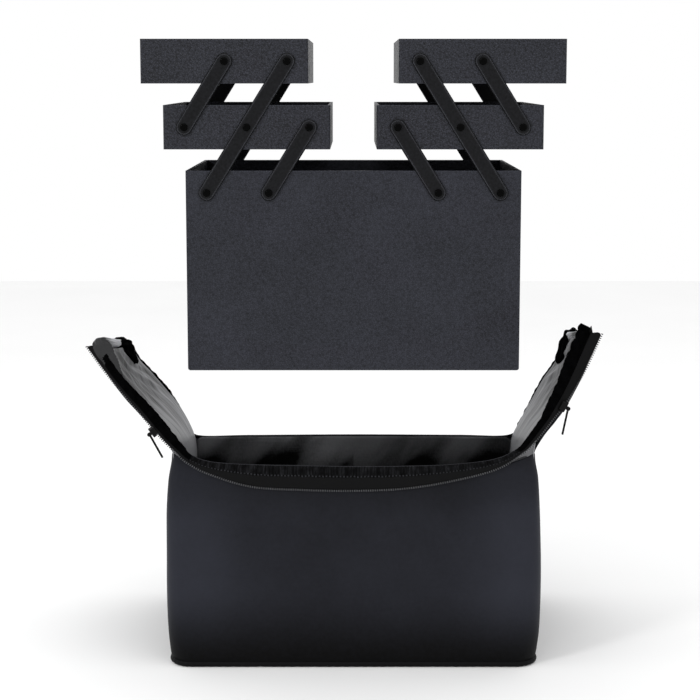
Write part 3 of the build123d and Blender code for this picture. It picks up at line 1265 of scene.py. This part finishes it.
# ---------------------------------------------------------------- the end flaps
@dataclass
class Flap:
    """One end flap: lining, skin, ribbon, tape, teeth, tip hem and gathered corner.

    Attributes:
        side: which end.
        lining: the lining's front and rear edges, from inside the bag to the tip.
        skin: the skin's front and rear edges, from below the rim to the tip.
        bow: the lining's outward bow along it, as (place, mm) knots.
        tip: the hem's line from front to rear.
        girth: the hem's radius along it, as (place, mm) knots.
        bunch: centre of the gathered rear corner, and its half sizes.
    """

    side: Side
    lining: tuple[Route, Route]
    skin: tuple[Route, Route]
    bow: tuple
    tip: Route
    girth: tuple
    bunch: tuple

    @property
    def body(self) -> str:
        """The name of the flap's body, given to its pieces."""
        return f"{self.side.word}_flap"

    def bend(self) -> tuple:
        """Gives the start and end of the bend between the bag and this flap.

        Returns:
            The two points in metres.
        """
        joint = next(j for j in frame["joints"] if j["name"] == f"{self.body}_fold")
        centre, axis = Vector(joint["pos_m"]), Vector(joint["axis"])
        tip = sum(self.lining[0].points[-1:] + self.lining[1].points[-1:], Vector()) * 0.5 * MM
        along = tip - centre
        along = (along - axis * along.dot(axis)).normalized()
        return tuple(centre - along * 0.006), tuple(centre + along * 0.014)

    def inner(self, u: float, v: float) -> Vector:
        """Places a point of the lining.

        Args:
            u: from front to rear.
            v: from inside the bag to the tip.

        Returns:
            The point in mm.
        """
        front, rear = self.lining
        place = v * front.last
        edge = front.at(place).lerp(rear.at(place), u)
        dish = (1.0 - (1.0 - min(1.0, u / 0.22)) ** 2) * (1.0 - smooth(0.55, 1.0, u) * 0.8)
        out = Vector((float(self.side.value), 0.0, -0.6)).normalized()
        fan = (u + 0.05) / (1.35 - v)
        pull = math.sin(fan * 13.0) * 1.3 + math.sin(fan * 31.0 + 1.7) * 0.8
        pull *= smooth(0.35, 0.75, v) * smooth(0.0, 0.12, u)
        pull *= (1.0 - smooth(0.8, 1.0, u)) * (1.0 - smooth(0.95, 1.0, v))
        slack = wrinkle(edge, 0.022, 4.0 + self.side.value) * 1.6 * smooth(0.15, 0.4, v)
        return edge + out * (dish * level(place, *self.bow) + pull + slack * smooth(0.0, 0.1, u))

    def make_lining(self, finish: bpy.types.Material) -> None:
        """Builds the pulled satin lining.

        Args:
            finish: its satin.
        """
        sheet = grid(f"{self.body}_satin", 110, 90, self.inner)
        applied(sheet, "SOLIDIFY", thickness=0.001, offset=0.0)
        Dress(finish, "lining", self.body, (f"{self.body}_lining",)).put(welded(sheet), self.bend())

    def outer(self, u: float, v: float) -> Vector:
        """Places a point of the skin.

        Args:
            u: from front to rear.
            v: from below the rim to the tip.

        Returns:
            The point in mm.
        """
        front, rear = self.skin
        place = v * front.last
        edge = front.at(place).lerp(rear.at(place), u)
        out = Vector((float(self.side.value), 0.0, -0.6)).normalized()
        swell = smooth(0.0, 0.35, u) * smooth(0.0, 0.3, 1.0 - u) * 8.0 * smooth(0.27, 0.55, v)
        return edge + out * (swell + wrinkle(edge, 0.02, 14.0) * 1.5 * smooth(0.25, 0.5, v))

    def make_skin(self, finish: bpy.types.Material) -> None:
        """Builds the outer skin of the flap.

        Args:
            finish: its coated cloth.
        """
        sheet = grid(f"{self.body}_skin", 90, 80, self.outer)
        applied(sheet, "SOLIDIFY", thickness=0.0018, offset=0.0)
        Dress(finish, "bag_shell", self.body, (self.body,)).put(welded(sheet), self.bend())

    def make_hem(self, finish: bpy.types.Material) -> None:
        """Builds the padded hem along the tip.

        Args:
            finish: its satin.
        """

        def centre(u: float, v: float) -> Vector:
            """Finds the hem's middle line at v."""
            return self.tip.at(v * self.tip.last)

        def radius(u: float, v: float) -> Vector:
            """Gives the offset from the hem's middle line.

            Args:
                u: the turn round the hem.
                v: the share of its length.

            Returns:
                The offset in mm.
            """
            angle = u * 2.0 * math.pi
            size = level(v, *self.girth) * math.sqrt(max(0.0, 1.0 - abs(2.0 * v - 1.0) ** 24))
            pucker = 0.05 * math.sin(v * 260.0 + 2.0 * math.sin(angle * 2.0))
            size *= 1.0 + pucker + 0.08 * math.sin(angle * 3.0 + v * 7.0)
            size *= 1.0 + 0.16 * noise.noise(Vector((math.cos(angle) * 1.6, math.sin(angle) * 1.6, v * 16.0)))
            lean = Vector((float(self.side.value) * 0.55, 0.0, 0.84))
            flat = Vector((0.84, 0.0, -0.55 * self.side.value))
            return (lean * math.sin(angle) * 0.8 + flat * math.cos(angle)) * size

        Dress(finish, "flap_hem", self.body, (f"{self.body}_hem",)).put(
            rope(f"{self.body}_tip_hem", 28, 260, centre, radius), self.bend()
        )

    def gather(self) -> bpy.types.Object:
        """Builds the ribbon gathered into a bunch at the rear corner of the tip.

        Returns:
            The bunch.
        """
        middle, half = Vector(self.bunch[0]), self.bunch[1]

        def place(u: float, v: float) -> Vector:
            """Places a point of the bunch.

            Args:
                u: the turn round it.
                v: from its front end to its rear one.

            Returns:
                The point in mm.
            """
            angle, rise = u * 2.0 * math.pi, (v - 0.5) * math.pi
            out = Vector((math.cos(rise) * math.cos(angle), math.sin(rise), math.cos(rise) * math.sin(angle)))
            pleat = 1.0 + 0.07 * math.sin(angle * 9.0 + rise * 2.0) * math.cos(rise) + 0.14 * wrinkle(out, 1.8, 3.0)
            swell = 1.0 + 0.06 * math.sin(out.y * half[1] * 0.62) + 0.05 * math.sin(out.y * half[1] * 1.4 + 1.0)
            spot = Vector((out.x * half[0] * swell, out.y * half[1], out.z * half[2] * swell)) * pleat
            slope = Vector((-0.6 * self.side.value, 0.0, -0.8))
            spot += slope * 13.0 * max(0.0, out.dot(slope)) ** 3
            return middle + spot - Vector((0.0, 0.0, spot.y * 0.17))

        return grid(f"{self.body}_bunch", 72, 90, place)


def make_bands(bands: Sequence[EdgeBand], flaps: Sequence[Flap], finishes: Sequence[bpy.types.Material]) -> None:
    """Builds every ribbon, tape and row of teeth.

    Args:
        bands: the front and the rear band.
        flaps: the flaps that they run onto.
        finishes: those of the front and the rear wall's ribbon, the flaps' ribbon, the tape and the teeth.
    """
    ribbon, rim_ribbon, velvet, tape, teeth = finishes
    kinds = (
        ("binding", "binding", velvet, EdgeBand.ribbon),
        ("tape", "zip_tape", tape, EdgeBand.tape),
        ("teeth", "zip_teeth", teeth, EdgeBand.teeth),
    )
    for word, slot, finish, build in kinds:
        for band in bands:
            node = f"{band.face.word}_{word if word == 'binding' else 'zip_' + word}"
            wall = {Face.FRONT: ribbon, Face.REAR: rim_ribbon}[band.face] if word == "binding" else finish
            dress = Dress(wall, slot, "bag", (node,))
            dress.put(build(band, f"{band.face.word}_edge_{word}", None))
        for flap in flaps:
            parts = [build(band, f"{flap.body}_{band.face.word}_{word}", flap.side) for band in bands]
            if word == "binding":
                parts.append(flap.gather())
            piece = joined(f"{flap.body}_edge_{word}", parts)
            Dress(finish, slot, flap.body, (f"{flap.body}_{word}",)).put(piece, flap.bend())


# ---------------------------------------------------------------- pads
def pad(node: str, body: str, finish: bpy.types.Material, edge: float) -> None:
    """Builds a thin foam pad in place of a plain one.

    Args:
        node: the CAD node it replaces.
        body: the body it lies in.
        finish: its cloth.
        edge: how far it pulls in at its sides, in mm.
    """
    low, high = (Vector(corner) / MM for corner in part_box(node))

    def place(u: float, v: float) -> Vector:
        """Places a point of the pad.

        Args:
            u: the turn round its middle.
            v: over the top to the rim at 0.5, then under to the middle.

        Returns:
            The point in mm.
        """
        top = v <= 0.5
        reach = v * 2.0 if top else (1.0 - v) * 2.0
        turn = u * 2.0 * math.pi
        c, s = math.cos(turn), math.sin(turn)
        power = max(abs(c), abs(s))
        square = Vector((c / power, s / power, 0.0))
        middle, half = (low + high) / 2, (high - low) / 2
        pull = 1.0 - edge / half.x * (1.0 - abs(square.x * square.y)) * reach ** 6
        x, y = middle.x + half.x * square.x * reach * pull, middle.y + half.y * square.y * reach * pull
        crown = (high.z - low.z) * (1.0 - 0.55 * reach ** 10)
        ripple = 0.12 * wrinkle(Vector((x, y, 0.0)), 0.03, 6.0)
        return Vector((x, y, low.z + (max(0.4, crown - 0.12 + ripple) if top and reach < 0.999 else 0.0)))

    piece = grid(f"{node}_felt", 96, 40, place)
    Dress(finish, "tray_pad", body, (node,)).put(piece)


# ---------------------------------------------------------------- studio
def studio() -> None:
    """Sets the camera, the lights, the pale floor and the plain white surroundings."""
    lens = bpy.data.cameras.new("camera")
    camera = bpy.data.objects.new("camera", lens)
    bpy.context.collection.objects.link(camera)
    camera.location = CAMERA_PLACE
    camera.rotation_euler = (math.radians(90.0 - CAMERA_DIP), 0.0, 0.0)
    lens.lens, lens.sensor_width = LENS_LENGTH, SENSOR_WIDTH
    lens.shift_x, lens.shift_y = -0.005, -0.10
    bpy.context.scene.camera = camera

    world = bpy.data.worlds.new("surroundings")
    world.use_nodes = True
    world.node_tree.nodes["Background"].inputs["Color"].default_value = (1.0, 1.0, 1.0, 1.0)
    world.node_tree.nodes["Background"].inputs["Strength"].default_value = 1.0
    bpy.context.scene.world = world
    bpy.context.scene.view_settings.view_transform = "Standard"

    for name, place, size, power in LAMPS:
        lamp = bpy.data.lights.new(name, "AREA")
        lamp.energy, lamp.size = power, size
        light = bpy.data.objects.new(name, lamp)
        bpy.context.collection.objects.link(light)
        light.location = place
        light.rotation_euler = (Vector((0.0, 0.0, 0.3)) - Vector(place)).to_track_quat("-Z", "Y").to_euler()

    lone()
    bpy.ops.mesh.primitive_grid_add(x_subdivisions=4, y_subdivisions=4, size=6.0)
    floor = bpy.context.object
    floor.name = "floor"
    book = NodeBook("floor_paper")
    tint = book.noise(3.0, 2.0)
    colour = book.blend(tint, grey(0.9), grey(0.94))
    paper = book.close(colour, 0.9 + tint * 0.05, book.bump(tint, 0.0001), Specular_IOR_Level=0.1)
    floor.data.materials.append(paper)


def tip_routes(side: Side) -> Flap:
    """Sets out the lines that one flap follows.

    Args:
        side: which end.

    Returns:
        The flap.
    """
    if side is Side.LEFT:
        return Flap(
            side=side,
            lining=(
                Route(
                    (-182.2, -112, 196), (-182.6, -113, 213), (-184, -113.5, 229), (-188, -113, 246),
                    (-197, -111.5, 260), (-211, -109.5, 275.5), (-229, -106.5, 294), (-243, -103.5, 312),
                    (-253, -101, 331)
                ),
                Route(
                    (-182, 112, 160), (-182.4, 113, 175), (-184.6, 114, 189), (-192, 114, 207),
                    (-203, 114, 229), (-217, 114, 249), (-232, 114, 266), (-246, 114, 280), (-256, 114, 295)
                ),
            ),
            skin=(
                Route(
                    (-186.8, -100, 204), (-185.5, -103, 214), (-184.3, -107.5, 225), (-194, -110, 241),
                    (-207, -109, 253), (-220, -107, 267), (-236, -104.5, 285), (-249, -102.5, 303),
                    (-263, -100.5, 327)
                ),
                Route(
                    (-189.4, 104, 168), (-188.8, 106, 178), (-188.4, 112, 190), (-199, 115, 203),
                    (-211, 115, 221), (-226, 115, 241), (-242, 115, 259), (-256, 115, 275), (-264, 115, 290)
                ),
            ),
            bow=((0, 0.3), (2, 0.4), (3, 3), (4, 8), (5, 11), (7, 6), (8, 2)),
            tip=Route(
                (-235, -104.5, 299), (-245, -105, 315), (-255, -104, 330), (-259, -88, 333), (-260, -40, 326),
                (-261, 20, 315), (-261, 70, 306), (-260, 100, 299)
            ),
            girth=((0, 2.2), (0.13, 6.2), (0.28, 8.8), (0.4, 8.0), (0.6, 5.6), (0.85, 4.6), (1, 4.0)),
            bunch=((-262.5, 72, 301), (13, 40, 11.5)),
        )
    return Flap(
        side=side,
        lining=(
            Route(
                (182.2, -112, 196), (182.6, -113, 213), (183.8, -113.5, 230), (187, -113, 247),
                (194, -111.5, 262), (201, -109.5, 277), (212, -106.5, 296), (222, -103.5, 319),
                (231, -101, 343)
            ),
            Route(
                (182, 112, 160), (182.4, 113, 175), (185, 114, 191), (195, 114, 212), (206, 114, 234),
                (218, 114, 258), (230, 114, 275), (238, 114, 290), (244, 114, 308)
            ),
        ),
        skin=(
            Route(
                (186.8, -100, 204), (185.5, -103, 214), (184.3, -107.5, 225), (193.5, -110, 243),
                (206, -109, 258), (218, -107, 275), (229, -104.5, 296), (238, -102.5, 317), (247, -100.5, 341)
            ),
            Route(
                (189.4, 104, 168), (188.8, 106, 178), (188.8, 112, 192), (202, 115, 207), (213, 115, 226),
                (225, 115, 248), (237, 115, 268), (247, 115, 286), (253, 115, 304)
            ),
        ),
        bow=((0, 0.3), (2, 0.4), (3, 3), (4, 7), (5, 9), (7, 5), (8, 2)),
        tip=Route((233, -96, 342), (236, -60, 338), (240, 0, 328), (243, 60, 317), (245, 98, 309)),
        girth=((0, 3.4), (0.12, 4.0), (0.4, 4.0), (0.75, 4.5), (1, 5.0)),
        bunch=((249, 82, 304), (13.5, 34, 17)),
    )


def edge_bands() -> tuple[EdgeBand, EdgeBand]:
    """Sets out the lines that the two zip bands follow, from the left tip to the right one.

    Returns:
        The front band and the rear one.
    """
    front = EdgeBand(
        fold=Route(
            (-250, -103, 330), (-240, -105, 309), (-226, -108, 293), (-207, -111, 274), (-193, -113, 258),
            (-182, -116.5, 245), (-173, -118.5, 234), (-164, -119, 223.5), (-143, -119, 216.5),
            (-102, -119, 213.5), (-54, -119, 212.5), (0, -119, 211.5), (54, -119, 212), (102, -119, 214),
            (143, -119, 219.5), (166, -118, 230), (175, -117, 240), (182.5, -115, 250), (190, -113, 260.5),
            (196.5, -111, 275), (206, -108, 295), (215, -105, 319), (229, -103, 353)
        ),
        hem=Route(
            (-272, -101, 333), (-254, -103, 308), (-236.5, -105.5, 286.5), (-219, -108, 266.5),
            (-205, -113, 251), (-193, -117.5, 238.5), (-181, -120.5, 227.5), (-168, -121.5, 216),
            (-146, -121.5, 204.5), (-104, -121.8, 191.8), (-54, -121.8, 188.5), (0, -121.8, 187.5),
            (54, -121.8, 190), (104, -121.8, 198.5), (146, -121, 210), (173, -119, 226.5), (184, -116, 236.5),
            (193, -113, 246.5), (204, -110, 260), (213, -108.5, 271), (225, -106, 289), (238, -103, 313),
            (253, -100, 346)
        ),
        face=Face.FRONT,
        share=(
            (0, 0.62), (2, 0.74), (5, 0.74), (7, 0.58), (9, 0.47),
            (13, 0.47), (15, 0.6), (17, 0.6), (20, 0.56), (22, 0.54),
        ),
        seams=(7.0, 15.0),
    )
    rear = EdgeBand(
        fold=Route(
            (-255, 117, 296), (-246, 117, 281), (-231, 117, 265), (-214, 117, 245), (-200, 117, 222),
            (-190, 117.5, 202), (-180, 118, 190), (-120, 119, 189.8), (0, 119, 190.5), (120, 119, 190),
            (180, 118, 190.5), (192, 117.5, 206), (204, 117, 230), (217, 117, 256), (230, 117, 275),
            (239, 117, 291), (244, 117, 308)
        ),
        hem=Route(
            (-268, 118, 290), (-257, 118, 271), (-242, 118, 255), (-226, 118, 235), (-212, 118, 213),
            (-200, 118.5, 192), (-184, 119.5, 175), (-120, 121.5, 168), (0, 121.5, 166), (120, 121.5, 168),
            (184, 119.5, 175), (204, 118.5, 197), (217, 118, 220), (230, 118, 245), (242, 118, 265),
            (251, 118, 283), (257, 118, 302)
        ),
        face=Face.REAR,
        share=((0, 0.6), (6, 0.52), (8, 0.5), (10, 0.52), (16, 0.6)),
        seams=(6.0, 10.0),
    )
    return front, rear


def main() -> None:
    """Builds the whole scene."""
    logging.basicConfig(level=logging.INFO, format="%(name)s: %(message)s")
    studio()
    skin = Skin("coated_cloth", tone=0.0255, low=0.02, gloss=0.09).make()
    piping = Skin("piping_cloth", tone=0.015, low=0.08, gloss=0.1).make()
    # one satin lining in two copies: inside the bag darkened with painted shade, on the flaps lightened with painted
    # sheen
    lining_in_painted_shade = Satin(
        "lining_inside", low=0.001, high=0.16, crease=0.004, gloss=0.15, fade=(-0.05, 0.62), folds=22.0,
        span=(0.82, 0.98),
    ).make()
    lining_with_painted_sheen = Satin(
        "lining_on_flaps", low=0.02, high=0.3, crease=0.005, gloss=0.4, fade=(0.95, 0.26), folds=11.0,
    ).make()
    hem = Satin("hem_satin", low=0.014, high=0.85, crease=0.005, gloss=0.3, fade=(-0.3, 1.5), folds=16.0).make()
    ribbon = Pile("gathered_ribbon", low=0.0006, high=0.03, gloss=0.06, pleats=200.0).make()
    # the rear wall's ribbon: the same ribbon as the front's in a lighter copy, painted light on the rear rim
    rim_ribbon = Pile("rear_ribbon", low=0.006, high=0.07, gloss=0.06, pleats=200.0).make()
    velvet = Pile("flap_ribbon", low=0.0003, high=0.0035, gloss=0.01).make()
    tape = Woven("zip_tape_weave", tone=0.0045, scale=520.0, gloss=0.07).make()
    # painted highlight: the teeth's grey is lighter than their dark plastic, standing in for their glints
    teeth = Enamel("moulded_teeth", tone=0.06, rough=0.34, gloss=0.4).make()
    metal = Enamel("black_enamel", tone=0.0015, rough=0.25, gloss=0.12).make()
    rivet = Enamel("rivet_enamel", tone=0.0003, rough=0.16, gloss=0.04).make()
    link = Pressed("link_lacquer", tone=0.02, line=0.12, gloss=0.1).make()
    case = Grained(
        "case_leatherette", tone=0.02, scale=520.0, depth=0.0002, speckle=0.9, gloss=0.16, rough=0.5,
    ).make()
    tray = Grained(
        "tray_leatherette", tone=0.02, scale=560.0, depth=0.00035, speckle=1.5, gloss=0.18, rough=0.42,
    ).make()
    felt = Pile("felt_pad", low=0.002, high=0.012, gloss=0.06).make()
    board = Woven("base_board", tone=0.008, scale=400.0, gloss=0.1).make()

    dressed = {
        "rivet": rivet, "links": link, "slider": metal, "puller": metal, "case_": case, "tray": tray, "bag_b": board,
    }
    for name, node in frame["nodes"].items():
        finish = next((found for key, found in dressed.items() if key in name), board)
        node.data.materials.clear()
        node.data.materials.append(finish)

    bag = Bag(skin, piping, lining_in_painted_shade)
    bag.skin()
    bag.piping()
    bag.lining()
    flaps = [tip_routes(side) for side in Side]
    for flap in flaps:
        flap.make_lining(lining_with_painted_sheen)
        flap.make_skin(skin)
        flap.make_hem(hem)
    make_bands(edge_bands(), flaps, (ribbon, rim_ribbon, velvet, tape, teeth))
    pad("case_floor_pad", "case", felt, 1.2)
    for level_word in ("lower", "upper"):
        for side in Side:
            tray_name = f"{level_word}_{side.word}_tray"
            pad(f"{tray_name}_pad", tray_name, felt, 0.8)


if __name__ == "__main__":
    main()
